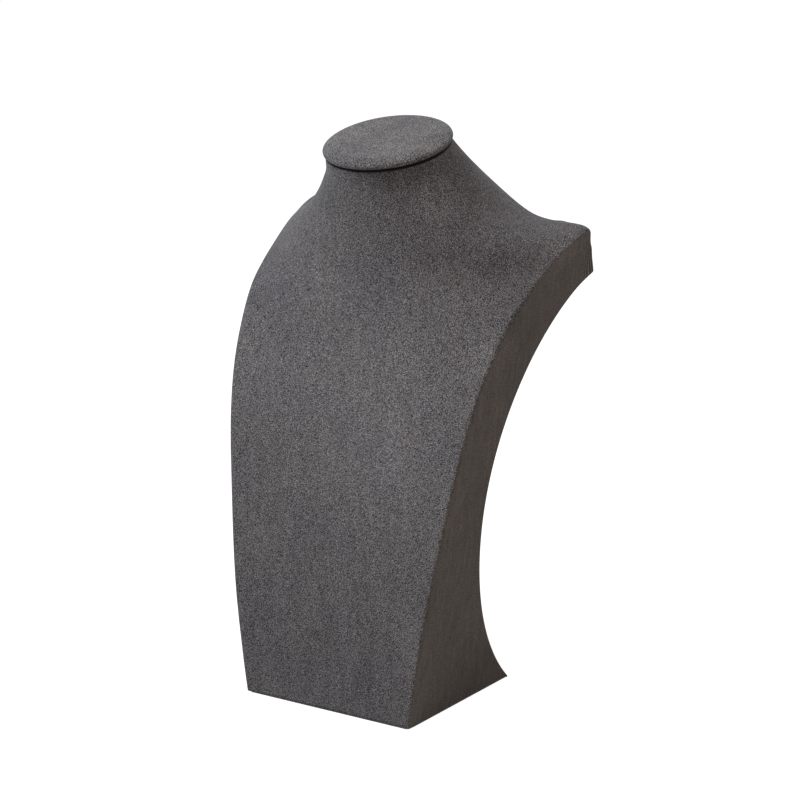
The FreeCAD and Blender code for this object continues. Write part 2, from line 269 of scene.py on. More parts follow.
class Cover:
    """The outer surface of the cover, gathered patch by patch as points and four-sided faces."""

    def __init__(self):
        self.points, self.faces = [], []

    def patch(self, grid, turned=False):
        rows, columns = grid.shape[:2]
        start = len(self.points)
        self.points.extend(grid.reshape(-1, 3))
        for row in range(rows - 1):
            for column in range(columns - 1):
                corner = start + row * columns + column
                face = [corner, corner + 1, corner + columns + 1, corner + columns]
                self.faces.append(face[::-1] if turned else face)

    def mesh(self, name):
        mesh = bpy.data.meshes.new(name)
        mesh.from_pydata([Vector(point) * MM for point in self.points], [], self.faces)
        form = bmesh.new()
        form.from_mesh(mesh)
        bmesh.ops.remove_doubles(form, verts=form.verts, dist=WELD * MM)
        bmesh.ops.dissolve_degenerate(form, dist=WELD / 2 * MM, edges=form.edges)
        form.to_mesh(mesh)
        form.free()
        return mesh


def top_row(parts, start):
    """The top row of the grid, just under the seat of the cap."""
    levels = []
    for part in parts:
        low, high = start, LEVELS[-1][0]
        for _ in range(HALVINGS):
            middle = (low + high) / 2
            point = chest(middle, row_end(middle)[0] * part)
            low, high = (middle, high) if point[2] < neck_end(point[1]) else (low, middle)
        levels.append(low)
    return np.array([chest(level, row_end(level)[0] * part) for level, part in zip(levels, parts)])


def front_grid(levels):
    """Chest, shoulders and neck, from the foot up to the seat."""
    parts = column_parts()
    rows = [chest(np.full_like(parts, level), row_end(level)[0] * parts) for level in levels]
    right = parts[len(parts) // 2:]
    top = top_row(right, levels[-1])
    mirrored = top[:0:-1] * [-1, 1, 1]
    return np.array(rows + [np.concatenate([mirrored, top])])


def rear_columns(grid, corner_row):
    """Ends of the columns of the upper rear face, from the left tip over the nape to the right tip."""
    tops = grid[corner_row:, -1]
    middle = [tops[-1] * [part, 1, 1] for part in NAPE_PARTS]
    return np.array(list(tops * [-1, 1, 1]) + middle + list(tops[::-1]))


def turned_in(loop):
    """The top edge of the neck, rounded in and lapped over the seat of the cap."""
    lean = math.radians(CAP_LEAN)
    up = np.array([0, -math.sin(lean), math.cos(lean)])
    inward = loop.mean(axis=0) - loop
    inward -= (inward @ up)[:, None] * up
    inward *= NECK_ROUNDING / np.linalg.norm(inward, axis=1)[:, None]
    corner = loop + (NECK_ROUNDING + LAP_RISE) * up
    rows = [(1 - part) ** 2 * loop + 2 * part * (1 - part) * corner + part ** 2 * (corner + inward)
            for part in np.linspace(0, 1, 5)]
    lap = [corner + inward * reach / NECK_ROUNDING for reach in (NECK_LAP / 2, NECK_LAP)]
    return np.array(rows + lap)


def flank_grid(fold):
    """A leaning side, from the front fold to its rear edge, and the points of that edge."""
    parts = side_parts()[None, :, None]
    edge = np.stack([side(fold[:, 2]), rear(fold[:, 2]), fold[:, 2]], -1)
    edge[-1] = fold[-1]
    return edge, fold[:, None] * (1 - parts) + edge[:, None] * parts


def upper_rear_grid(tops, edge):
    """The upper rear face, from the rear rim up to the tips and the nape, with a sunk seam down it."""
    shares = (edge[:, 2] - SHOULDER_HEIGHT) / (edge[-1, 2] - SHOULDER_HEIGHT)
    heights = SHOULDER_HEIGHT + shares[:, None] * (tops[None, :, 2] - SHOULDER_HEIGHT)
    narrow = side(SHOULDER_HEIGHT) / edge[-1, 0]
    widths = tops[None, :, 0] * (narrow + (1 - narrow) * shares[:, None])
    seam = SEAM_DEPTH * np.minimum(shares * 4, 1)[:, None] * (np.abs(widths) < 0.1)
    return np.stack([widths, rear(heights) - seam, heights], -1)


def neck_loop(grid, tops, corner_row):
    """The top edge of the neck, once round: over the front to the right, then back along the nape."""
    count = len(grid) - corner_row
    nape = [point * [1, 0, 1] + [0, float(rear(point[2])), 0] for point in tops[count:-count][::-1]]
    loop = np.array(list(grid[-1]) + nape)
    return np.concatenate([loop, loop[:1]])


def hem_grids(heights, columns):
    """The hem round the hollow back: a band under the rear rim and a strip down each side."""
    inner = side(SHOULDER_HEIGHT) - HEM
    first = int(np.abs(columns + inner).argmin()) + 1
    band = int(np.abs(heights - (SHOULDER_HEIGHT - HEM)).argmin())
    narrower = side(heights)[:, None] - side(SHOULDER_HEIGHT)
    spread = columns * (1 + narrower / np.maximum(np.abs(columns), inner))
    levels = np.broadcast_to(heights[:, None], spread.shape)
    hem = np.stack([spread, rear(levels), levels], -1)
    return hem[band:], hem[:band + 1, :first], hem[:band + 1, -first:]


def cover_surface():
    """The outside of the front cover: front, both sides, upper rear face, lap at the neck and hem."""
    levels, corner = cover_levels()
    corner_row = int(np.argmin(np.abs(levels - corner)))
    grid = front_grid(levels)
    edge, flank = flank_grid(grid[:corner_row + 1, -1])
    rim_row = int(np.argmin(np.abs(edge[:, 2] - SHOULDER_HEIGHT)))
    tops = rear_columns(grid, corner_row)
    upper_rear = upper_rear_grid(tops, edge[rim_row:])
    cover = Cover()
    cover.patch(grid)
    cover.patch(flank)
    cover.patch(flank * [-1, 1, 1], turned=True)
    cover.patch(upper_rear, turned=True)
    cover.patch(turned_in(neck_loop(grid, tops, corner_row)))
    for hem in hem_grids(edge[:rim_row + 1, 2], upper_rear[0, :, 0]):
        cover.patch(hem, turned=True)
    return cover


# Pieces

def new_object(name, mesh):
    piece = bpy.data.objects.new(name, mesh)
    bpy.context.scene.collection.objects.link(piece)
    return piece


def finish_mesh(piece, *modifiers):
    """Turns a piece with its modifiers into a plain mesh."""
    bpy.context.view_layer.update()
    graph = bpy.context.evaluated_depsgraph_get()
    mesh = bpy.data.meshes.new_from_object(piece.evaluated_get(graph))
    piece.modifiers.clear()
    piece.data = mesh
    for polygon in mesh.polygons:
        polygon.use_smooth = True
    return piece


def surface_area(piece):
    return sum(polygon.area for polygon in piece.data.polygons)


def rounded(piece, levels=1):
    modifier = piece.modifiers.new("rounding", "SUBSURF")
    modifier.levels = modifier.render_levels = levels
    modifier.boundary_smooth = "PRESERVE_CORNERS"
    return finish_mesh(piece)


def thickened(piece, thickness):
    modifier = piece.modifiers.new("thickness", "SOLIDIFY")
    modifier.thickness = thickness * MM
    modifier.offset = -1
    return finish_mesh(piece)


def soften_tips(mesh):
    """Fuller, rounder tips of the shoulders, with the cloth bunched a little at the corner under each."""
    form = bmesh.new()
    form.from_mesh(mesh)
    level = corner_level()
    tip = chest(level, row_end(level)[0])
    for vert in form.verts:
        mirror = np.array([math.copysign(1, vert.co.x), 1, 1])
        spot = np.array(vert.co) / MM * mirror
        for place, reach, push in TIP_TOUCHES + [(tip, *TIP_FULLNESS)]:
            weight = math.exp(-(np.linalg.norm(spot - place) / reach) ** 2)
            vert.co += Vector(mirror * push * weight * MM)
    near = [vert for vert in form.verts
            if np.linalg.norm(np.abs(vert.co / MM) - tip - [0, 0, TIP_LIFT]) < TIP_ROUNDING]
    for _ in range(TIP_PASSES):
        bmesh.ops.smooth_vert(form, verts=near, factor=0.5,
                              use_axis_x=True, use_axis_y=True, use_axis_z=True)
    form.to_mesh(mesh)
    form.free()
    return mesh


def wrap_cover(material):
    """The microfibre drawn over front, sides, shoulders and neck and turned in round the hollow back."""
    piece = new_object("front_cover_cloth", soften_tips(cover_surface().mesh("front_cover_cloth")))
    rounded(piece)
    area = surface_area(piece)
    thickened(piece, COVER)
    piece.data.materials.append(material)
    declared(piece, area, (0.36, 0.42), ["core"], "front_cover")


def declared(piece, area, flat, rests_on, *nodes):
    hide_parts(*nodes)
    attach(piece, "root")


# Node trees, for shapes and for materials

class Amount:
    """A number that a node tree works out. A sum written with it adds its nodes to the tree."""

    def __init__(self, tree, source):
        self.tree, self.source = tree, source

    def __add__(self, other):
        return calculate("ADD", self, other)

    def __sub__(self, other):
        return calculate("SUBTRACT", self, other)

    def __rsub__(self, other):
        return calculate("SUBTRACT", other, self)

    def __mul__(self, other):
        return calculate("MULTIPLY", self, other)

    def __truediv__(self, other):
        return calculate("DIVIDE", self, other)

    def __pow__(self, power):
        return calculate("POWER", self, power)

    def __abs__(self):
        return calculate("ABSOLUTE", self)


def node(tree, kind, **settings):
    made = tree.nodes.new(kind)
    for name, value in settings.items():
        setattr(made, name, value)
    return made


def socket(tree, kind, name, default, inwards=True):
    """Adds a named input or output to a group."""
    item = tree.interface.new_socket(name, in_out="INPUT" if inwards else "OUTPUT", socket_type=kind)
    if inwards:
        item.default_value = default


def group_inputs(tree):
    """The inputs of a tree by name. Numbers come as amounts."""
    return {item.name: Amount(tree, item) if item.type == "VALUE" else item
            for item in node(tree, "NodeGroupInput").outputs}


def feed(tree, value, item):
    """Gives an input its value: an amount, an output of another node, or a fixed setting."""
    if isinstance(value, Amount):
        value = value.source
    if isinstance(value, bpy.types.NodeSocket):
        tree.links.new(value, item)
    else:
        item.default_value = value


def calculate(operation, *values):
    """One step of arithmetic on amounts and fixed numbers."""
    tree = next(value.tree for value in values if isinstance(value, Amount))
    step = node(tree, "ShaderNodeMath", operation=operation)
    for index, value in enumerate(values):
        feed(tree, value, step.inputs[index])
    return Amount(tree, step.outputs[0])


def sine(angle):
    return calculate("SINE", angle)


def cosine(angle):
    return calculate("COSINE", angle)


def share(value, low, high, start=0.0, end=1.0):
    """How far an amount has come from low to high, held at the ends."""
    step = node(value.tree, "ShaderNodeMapRange", clamp=True)
    for name, setting in (("Value", value), ("From Min", low), ("From Max", high), ("To Min", start),
                          ("To Max", end)):
        feed(value.tree, setting, step.inputs[name])
    return Amount(value.tree, step.outputs["Result"])


def split(tree, vector):
    """The three parts of a vector."""
    parts = node(tree, "ShaderNodeSeparateXYZ")
    tree.links.new(vector, parts.inputs[0])
    return [Amount(tree, part) for part in parts.outputs]


# Pieces whose shape follows a rule

def new_tree(name, **sizes):
    """A geometry tree with named sizes and a material as its inputs."""
    tree = bpy.data.node_groups.new(name, "GeometryNodeTree")
    tree.interface.new_socket("Geometry", in_out="INPUT", socket_type="NodeSocketGeometry")
    for label, value in sizes.items():
        socket(tree, "NodeSocketFloat", label.replace("_", " ").capitalize(), value)
    tree.interface.new_socket("Material", in_out="INPUT", socket_type="NodeSocketMaterial")
    tree.interface.new_socket("Geometry", in_out="OUTPUT", socket_type="NodeSocketGeometry")
    return tree, group_inputs(tree)


def shaped_grid(tree, columns, rows, rule):
    """A grid from 0 to 1 each way, moved to where the rule puts each of its points."""
    grid = node(tree, "GeometryNodeMeshGrid")
    for name, value in (("Size X", 1.0), ("Size Y", 1.0), ("Vertices X", columns), ("Vertices Y", rows)):
        grid.inputs[name].default_value = value
    across, along, _ = split(tree, node(tree, "GeometryNodeInputPosition").outputs[0])
    joined = node(tree, "ShaderNodeCombineXYZ")
    for axis, value in zip("XYZ", rule(across + 0.5, along + 0.5)):
        feed(tree, value, joined.inputs[axis])
    moved = node(tree, "GeometryNodeSetPosition")
    tree.links.new(grid.outputs["Mesh"], moved.inputs["Geometry"])
    tree.links.new(joined.outputs[0], moved.inputs["Position"])
    return moved.outputs["Geometry"]


def close_tree(tree, geometry, material):
    """Joins what meets, realizes and gives the result its material."""
    merged = node(tree, "GeometryNodeMergeByDistance")
    merged.inputs["Distance"].default_value = WELD * MM
    real = node(tree, "GeometryNodeRealizeInstances")
    painted = node(tree, "GeometryNodeSetMaterial")
    tree.links.new(geometry, merged.inputs["Geometry"])
    tree.links.new(merged.outputs["Geometry"], real.inputs["Geometry"])
    tree.links.new(real.outputs["Geometry"], painted.inputs["Geometry"])
    tree.links.new(material, painted.inputs["Material"])
    tree.links.new(painted.outputs["Geometry"], node(tree, "NodeGroupOutput").inputs["Geometry"])
    return tree


def cap_rule():
    """A round cap drawn over its pad: domed, rounded at the rim, and turned under with a narrow gap."""
    tree, given = new_tree("round cap", radius=CAP_RADIUS, foot_radius=CAP_FOOT_RADIUS, thickness=CAP_THICK,
                           crown=CAP_CROWN, turn_in=CAP_TURN_IN, lift=CAP_LIFT, shoulder=CAP_SHOULDER,
                           rim_height=CAP_RIM_HEIGHT)
    radius, shoulder, lift = given["Radius"], given["Shoulder"], given["Lift"]
    top_end, fall_end, tuck_end = CAP_TURNS

    def rule(across, along):
        top, under = share(along, 0.0, top_end), share(along, tuck_end, 1.0)
        fall = share(along, top_end, fall_end, math.pi / 2, 0.0)
        tuck = share(along, fall_end, tuck_end, 0.0, math.pi / 2)
        out = shoulder * cosine(fall) + (radius - shoulder) * top
        tucked = given["Turn in"] * under + (radius - given["Foot radius"]) * (1.0 - cosine(tuck))
        rim = lift + given["Rim height"]
        rise = (given["Thickness"] - rim) * sine(fall)
        drop = (rim - lift) * sine(tuck) + lift * under ** 2.0
        swell = given["Crown"] * (1.0 - (out / radius) ** 2.0)
        angle = across * (2 * math.pi)
        wide = (out - tucked) * MM
        return wide * cosine(angle), wide * sine(angle), (rim + rise - drop + swell) * MM

    return close_tree(tree, shaped_grid(tree, *CAP_GRID, rule), given["Material"])


def back_rule():
    """The cover of the hollow back: two arcs that meet upright at the waist, between the leaning sides."""
    tree, given = new_tree("hollow back", foot_half_width=FOOT_HALF_WIDTH, side_lean=SIDE_LEAN,
                           margin=BACK_MARGIN, low=BOTTOM_SHEET, high=SHOULDER_HEIGHT - HEM,
                           waist_depth=WAIST_DEPTH, waist_height=WAIST_HEIGHT, foot_rear=FOOT_REAR,
                           shoulder_rear=SHOULDER_REAR, shoulder_height=SHOULDER_HEIGHT)
    waist_depth, waist_height = given["Waist depth"], given["Waist height"]

    def arc(height, reach, rise):
        run = reach - waist_depth
        radius = (rise * rise + run * run) / (run * 2.0)
        away = height - waist_height
        return waist_depth + (radius - calculate("SQRT", radius * radius - away * away))

    def rule(across, along):
        height = along * (given["High"] - given["Low"]) + given["Low"]
        half = height * given["Side lean"] + given["Foot half width"] - given["Margin"]
        upper = arc(height, given["Shoulder rear"], given["Shoulder height"] - waist_height)
        lower = arc(height, given["Foot rear"], waist_height)
        above = calculate("GREATER_THAN", height, waist_height)
        depth = above * upper + (1.0 - above) * lower
        return half * (1.0 - across * 2.0) * MM, depth * MM, height * MM

    return close_tree(tree, shaped_grid(tree, *BACK_GRID, rule), given["Material"])


def grown(name, tree, material):
    """A plain mesh piece from a geometry tree."""
    piece = new_object(name, bpy.data.meshes.new(name))
    modifier = piece.modifiers.new("rule", "NODES")
    modifier.node_group = tree
    inputs = {item.name: item.identifier for item in tree.interface.items_tree if item.item_type == "SOCKET"}
    modifier[inputs["Material"]] = material
    return finish_mesh(piece)


def back_cover(material):
    """The cover glued over the hollow back, edge to edge with the turned-in hem."""
    piece = grown("back_cover_cloth", back_rule(), material)
    area = surface_area(piece)
    thickened(piece, COVER)
    declared(piece, area, (0.178, 0.275), ["core"], "back_cover")


def cap_place():
    """Where the cap sits: tilted forwards on the top of the neck."""
    return (Matrix.Translation(Vector((0, CAP_SEAT_REAR, CAP_SEAT_HEIGHT)) * MM)
            @ Matrix.Rotation(math.radians(CAP_LEAN), 4, "X"))


def cap_cover(material):
    """The microfibre drawn over the round cap and turned under its edge."""
    piece = grown("neck_cap_cloth", cap_rule(), material)
    area = surface_area(piece)
    thickened(piece, COVER)
    piece.data.transform(cap_place())
    declared(piece, area, (0.113, 0.113), ["neck_cap_board"], "neck_cap_cover")


def turned_solid(name, outline, count=96):
    """A closed solid turned about the axis of the cap, from an outline of radius and height."""
    points = [Vector((radius * math.cos(turn), radius * math.sin(turn), height)) * MM
              for turn in (2 * math.pi * step / count for step in range(count)) for radius, height in outline]
    size = len(outline)
    faces = [(step * size + row, (step + 1) % count * size + row, (step + 1) % count * size + row + 1,
              step * size + row + 1) for step in range(count) for row in range(size - 1)]
    mesh = bpy.data.meshes.new(name)
    mesh.from_pydata(points, [], faces)
    form = bmesh.new()
    form.from_mesh(mesh)
    bmesh.ops.remove_doubles(form, verts=form.verts, dist=WELD / 2 * MM)
    bmesh.ops.recalc_face_normals(form, faces=form.faces)
    form.to_mesh(mesh)
    form.free()
    return new_object(name, mesh)


def cap_pad(material):
    """The thin foam over the cap's board, domed on top."""
    outside, top = CAP_RADIUS - 2 * COVER, CAP_THICK - COVER
    board_top = COVER + CAP_BOARD_THICK
    dome = [(part * (outside - 1), top + PAD_CROWN * (1 - part ** 2.6)) for part in np.linspace(0, 1, 14)]
    wall = [(outside - 0.3, top - 0.3), (outside, top - 1.0), (outside, COVER + 0.5), (outside - 0.4, COVER),
            (CAP_BOARD_RADIUS, COVER), (CAP_BOARD_RADIUS, board_top), (0, board_top)]
    piece = turned_solid("neck_cap_foam", dome + wall)
    piece.data.materials.append(material)
    piece.data.transform(cap_place())
    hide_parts("neck_cap_pad")
    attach(piece, "root")


def bottom_sheet(material):
    """The thin sheet glued under the foot, with small round corners."""
    low, high = (Vector(corner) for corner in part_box("bottom_sheet"))
    corner = BOTTOM_CORNER * MM
    outline = []
    for x, y, start in ((high.x, high.y, 0), (low.x, high.y, 90), (low.x, low.y, 180), (high.x, low.y, 270)):
        middle = Vector((x - math.copysign(corner, x), y - math.copysign(corner, y), low.z))
        turns = [math.radians(start + turn) for turn in range(0, 91, 15)]
        outline += [middle + corner * Vector((math.cos(turn), math.sin(turn), 0)) for turn in turns]
    form = bmesh.new()
    face = form.faces.new([form.verts.new(point) for point in outline])
    form.normal_update()
    lifted = bmesh.ops.extrude_face_region(form, geom=[face])
    raised = [item for item in lifted["geom"] if isinstance(item, bmesh.types.BMVert)]
    bmesh.ops.translate(form, verts=raised, vec=(0, 0, high.z - low.z))
    bmesh.ops.recalc_face_normals(form, faces=form.faces)
    mesh = bpy.data.meshes.new("bottom_sheet_cloth")
    form.to_mesh(mesh)
    form.free()
    mesh.materials.append(material)
    piece = new_object("bottom_sheet_cloth", mesh)
    declared(piece, None, (high.x - low.x, high.y - low.y), ["core"], "bottom_sheet")


# Materials

def noise(tree, place, scale, detail, roughness, height_scale=1.0):
    """Noise that is turned away from the stand's flat faces, along which it would fade in bands."""
    turned = node(tree, "ShaderNodeMapping")
    turned.inputs["Scale"].default_value = (1, 1, height_scale)
    turned.inputs["Rotation"].default_value = (0.6, 0.45, 0.3)
    texture = node(tree, "ShaderNodeTexNoise")
    tree.links.new(place, turned.inputs["Vector"])
    for name, value in (("Vector", turned.outputs["Vector"]), ("Scale", scale), ("Detail", detail),
                        ("Roughness", roughness)):
        feed(tree, value, texture.inputs[name])
    return Amount(tree, texture.outputs["Fac"])


def centred(value, contrast):
    """A pattern of 0 to 1 as a swing about nothing, as strong as its contrast."""
    return (value - 0.5) * contrast


def blended(tree, amount, start, end):
    """A colour between two others."""
    mix = node(tree, "ShaderNodeMix", data_type="RGBA")
    ends = [item for item in mix.inputs if item.type == "RGBA"]
    for item, value in ((mix.inputs[0], amount), (ends[0], start), (ends[1], end)):
        feed(tree, value, item)
    return next(item for item in mix.outputs if item.type == "RGBA")


def new_effect(name, numbers, colours, results):
    """A shader node group with named inputs and outputs."""
    tree = bpy.data.node_groups.new(name, "ShaderNodeTree")
    for label, value in numbers.items():
        socket(tree, "NodeSocketFloat", label, value)
    for label, value in colours.items():
        socket(tree, "NodeSocketColor", label, (*value, 1))
    for label, kind in results.items():
        socket(tree, kind, label, None, False)
    return tree, group_inputs(tree), node(tree, "NodeGroupOutput").inputs


def microfibre_nap():
    """Suede of fine fibres: salt and pepper grain, brushed cloudy, and a cast that comes and goes."""
    tree, given, out = new_effect(
        "brushed nap", {"Grain": 2200.0, "Grain contrast": 9.6, "Darkest grain": 0.12, "Clouds": 22.0,
                        "Cloud contrast": 0.4, "Strokes": 230.0, "Stroke contrast": 0.55, "Mark": 0.0},
        {"Colour": CHARCOAL, "Cast": CHARCOAL_CAST},
        {"Colour": "NodeSocketColor", "Height": "NodeSocketFloat"})
    place = node(tree, "ShaderNodeTexCoord").outputs["Object"]
    grain = noise(tree, place, given["Grain"], 1.0, 0.6)
    clouds = noise(tree, place, given["Clouds"], 2.0, 0.5)
    strokes = noise(tree, place, given["Strokes"], 2.0, 0.5, STROKE_STRETCH)
    tint = share(noise(tree, place, given["Clouds"], 1.5, 0.5), 0.2, 0.8)
    speckle = calculate("MAXIMUM", centred(grain, given["Grain contrast"]) + 1.0, given["Darkest grain"])
    broad = centred(clouds, given["Cloud contrast"]) + centred(strokes, given["Stroke contrast"])
    tinted = node(tree, "ShaderNodeVectorMath", operation="SCALE")
    feed(tree, blended(tree, tint, given["Colour"], given["Cast"]), tinted.inputs[0])
    feed(tree, speckle * (broad + given["Mark"] + 1.0), tinted.inputs["Scale"])
    feed(tree, tinted.outputs["Vector"], out["Colour"])
    feed(tree, grain, out["Height"])
    return tree


def fan_of_gathers(given, depth, height, uneven):
    """Fine pleats that fan out downwards under the rear tip of a shoulder and fade away from it."""
    slope = (NAPE_REAR - SHOULDER_REAR) / (NAPE_HEIGHT - SHOULDER_HEIGHT)
    above = height - SHOULDER_HEIGHT * MM
    inwards = above * slope + SHOULDER_REAR * MM - depth
    below = calculate("MAXIMUM", given["Fan height"] - above, MM)
    turns = inwards / below / given["Fan pitch"] + uneven
    near, low, high = (share(place, out * MM, full * MM, least) for place, (out, full), least in (
        (inwards, FAN_INWARDS, 0.0), (above, FAN_BELOW, 0.0), (above, FAN_ABOVE, 0.1)))
    return sine(turns * (2 * math.pi)) * near * low * high


def side_marks():
    """How much of a point is on a leaning side, and the fine gathers near the side's upper rear corner."""
    tree, given, out = new_effect(
        "leaning sides", {"Foot half width": FOOT_HALF_WIDTH * MM, "Side lean": SIDE_LEAN,
                          "Fan height": 36.0 * MM, "Fan pitch": 0.064, "Unevenness": 2.2,
                          "Unevenness scale": 130.0},
        {}, {"Side": "NodeSocketFloat", "Gathers": "NodeSocketFloat"})
    place = node(tree, "ShaderNodeTexCoord").outputs["Object"]
    across, depth, height = split(tree, place)
    upwards = split(tree, node(tree, "ShaderNodeNewGeometry").outputs["Normal"])[2]
    inside = height * given["Side lean"] + given["Foot half width"] - abs(across)
    on_side = share(inside, 1.1 * MM, 0.4 * MM) * share(upwards, 0.2, -0.06)
    uneven = centred(noise(tree, place, given["Unevenness scale"], 1.0, 0.5), given["Unevenness"])
    feed(tree, on_side, out["Side"])
    feed(tree, fan_of_gathers(given, depth, height, uneven) * on_side, out["Gathers"])
    return tree


def mapped(tree, **settings):
    """Places on the stand, measured from a spot of its own."""
    place = node(tree, "ShaderNodeMapping", vector_type="TEXTURE")
    for name, value in settings.items():
        place.inputs[name].default_value = value
    tree.links.new(node(tree, "ShaderNodeTexCoord").outputs["Object"], place.inputs["Vector"])
    return place.outputs["Vector"]


def painted_crease_shade():
    """How much of a point is in the crease between neck and cap, which is painted dark as shade."""
    tree, given, out = new_effect(
        "painted shade in the crease under the cap", {"From": -1.5 * MM, "To": 1.2 * MM, "Edge": 0.5 * MM},
        {}, {"Crease": "NodeSocketFloat"})
    seat = (0, CAP_SEAT_REAR * MM, CAP_SEAT_HEIGHT * MM)
    height = split(tree, mapped(tree, Location=seat, Rotation=(math.radians(CAP_LEAN), 0, 0)))[2]
    above = share((height - given["From"]) / given["Edge"], 0.0, 1.0)
    below = share((given["To"] - height) / given["Edge"], 0.0, 1.0)
    feed(tree, above * below, out["Crease"])
    return tree


def marks_and_painted_light():
    """How much lighter or darker the nap is at each listed place: brushed or marked nap, painted light or
    painted shade.
    """
    tree, _, out = new_effect("brush marks and painted light", {}, {}, {"Mark": "NodeSocketFloat"})
    total = 0.0
    for middle, reach, amount in BRUSHED_AND_PAINTED_LIGHT:
        away = node(tree, "ShaderNodeVectorMath", operation="LENGTH")
        tree.links.new(mapped(tree, Location=Vector(middle) * MM, Scale=Vector(reach) * MM), away.inputs[0])
        soft = node(tree, "ShaderNodeMapRange", interpolation_type="SMOOTHSTEP")
        for name, value in (("Value", away.outputs["Value"]), ("From Min", 1.0), ("From Max", 0.0)):
            feed(tree, value, soft.inputs[name])
        total = Amount(tree, soft.outputs["Result"]) * amount + total
    feed(tree, total, out["Mark"])
    return tree


def placed_group(tree, group, numbers=(), colours=()):
    """An effect placed in a material, with the material's own values."""
    effect = node(tree, "ShaderNodeGroup", node_tree=group)
    for label, value in dict(numbers).items():
        effect.inputs[label].default_value = value
    for label, value in dict(colours).items():
        effect.inputs[label].default_value = (*value, 1)
    return effect


def bumped(tree, height, strength, distance, before=None):
    """The normal of a surface with a fine relief, over a relief that it has before."""
    relief = node(tree, "ShaderNodeBump")
    for name, value in (("Strength", strength), ("Distance", distance * MM), ("Height", height)):
        feed(tree, value, relief.inputs[name])
    if before:
        feed(tree, before, relief.inputs["Normal"])
    return relief.outputs["Normal"]


def lying_nap_and_side_shade(tree, nap, sides, mark, colour, normal):
    """Adds the leaning sides, painted warmer and with fainter grain, partly as in their warm shade and partly
    as nap that lies down, and gathered at the corner, with painted light and shade along the gathers.
    """
    flank = placed_group(tree, sides)
    side_mark, gathers = flank.outputs["Side"], flank.outputs["Gathers"]
    # The sides are painted warmer and with fainter grain: partly painted warm shade, partly nap lying down.
    flat = placed_group(tree, nap, SIDE_NAP_AND_SHADE, {"Colour": SIDE_CHARCOAL_AND_SHADE, "Cast": SIDE_CAST_AND_SHADE})
    # The gathers are painted into the colour, lighter on their ridges and darker in their folds: painted
    # light and shade.
    feed(tree, Amount(tree, gathers) * GATHER_SHADE + mark, flat.inputs["Mark"])
    colour = blended(tree, side_mark, colour, flat.outputs["Colour"])
    return colour, bumped(tree, gathers, *GATHER_RELIEF, normal)


def cloth(name, nap, crease=None, sides=None, marks=None, colours=(CHARCOAL, CHARCOAL_CAST), numbers=()):
    """Charcoal microfibre, where it has them with its leaning sides partly in painted warm shade, its brushed
    places, painted light and painted shade, and painted shade in the crease between neck and cap.
    """
    material = bpy.data.materials.new(name)
    material.use_nodes = True
    tree = material.node_tree
    front = placed_group(tree, nap, numbers, {"Colour": colours[0], "Cast": colours[1]})
    colour = front.outputs["Colour"]
    normal = bumped(tree, front.outputs["Height"], *NAP_RELIEF)
    if sides and marks:
        mark = placed_group(tree, marks).outputs["Mark"]
        feed(tree, mark, front.inputs["Mark"])
        colour, normal = lying_nap_and_side_shade(tree, nap, sides, mark, colour, normal)
    if crease:
        # Painted shade in the crease between neck and cap.
        crease_shade = placed_group(tree, crease).outputs["Crease"]
        colour = blended(tree, crease_shade, colour, (*PAINTED_CREASE_SHADE, 1))
    shader = tree.nodes["Principled BSDF"]
    for label, value in (("Base Color", colour), ("Normal", normal), ("Roughness", 0.95),
                         ("Specular IOR Level", 0.15), ("Sheen Weight", 0.16), ("Sheen Roughness", 0.4),
                         ("Sheen Tint", (0.95, 0.95, 1.0, 1))):
        feed(tree, value, shader.inputs[label])
    return material


def flecked(name, colour):
    """Raw fibreboard or open foam, in pale and dark flecks."""
    material = bpy.data.materials.new(name)
    material.use_nodes = True
    tree = material.node_tree
    shader = tree.nodes["Principled BSDF"]
    flecks = node(tree, "ShaderNodeTexNoise")
    flecks.inputs["Scale"].default_value = 420.0
    flecks.inputs["Detail"].default_value = 5.0
    tree.links.new(node(tree, "ShaderNodeTexCoord").outputs["Object"], flecks.inputs["Vector"])
    ramp = node(tree, "ShaderNodeValToRGB")
    for stop, gain in zip(ramp.color_ramp.elements, (0.7, 1.25)):
        stop.color = (*(value * gain for value in colour), 1)
    ramp.color_ramp.elements[0].position, ramp.color_ramp.elements[1].position = 0.35, 0.65
    tree.links.new(flecks.outputs["Fac"], ramp.inputs["Fac"])
    tree.links.new(ramp.outputs["Color"], shader.inputs["Base Color"])
    shader.inputs["Roughness"].default_value = 0.85
    return material


def paint(name, material):
    """Gives a solid that is carried over its own finish."""
    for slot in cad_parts[name].material_slots:
        slot.material = material


# Studio

WHITE = (1, 1, 1)
CAMERA_PLACE, CAMERA_AIM, CAMERA_LENS = (0.8872, -1.3038, 0.5791), (-0.5385, 0.8052, -0.2482), 126.0
LIGHT_TARGET = (0, 0, 0.17)
# Lamps: name, place, size, power, colour.
LIGHTS = [
    ("key", (-0.5, -0.75, 1.5), 0.8, 12, WHITE),
    ("near_key", (-0.4, -0.55, 1.1), 0.5, 3.6, WHITE),
    ("left", (-1.5, -1.2, 1.5), 1.2, 2.8, WHITE),
    ("right", (1.8, -0.8, 1.0), 1.2, 4, (1, 0.56, 0.24)),
    ("back", (0.5, 1.5, 1.4), 1.2, 8.5, WHITE),
]


def make_camera():
    """A long lens at the height and angle of the photograph."""
    data = bpy.data.cameras.new("camera")
    data.sensor_width = 36.0
    data.lens = CAMERA_LENS
    camera = bpy.data.objects.new("camera", data)
    bpy.context.scene.collection.objects.link(camera)
    camera.location = CAMERA_PLACE
    camera.rotation_euler = Vector(CAMERA_AIM).to_track_quat("-Z", "Y").to_euler()
    data.clip_start, data.clip_end = 0.05, 50
    bpy.context.scene.camera = camera


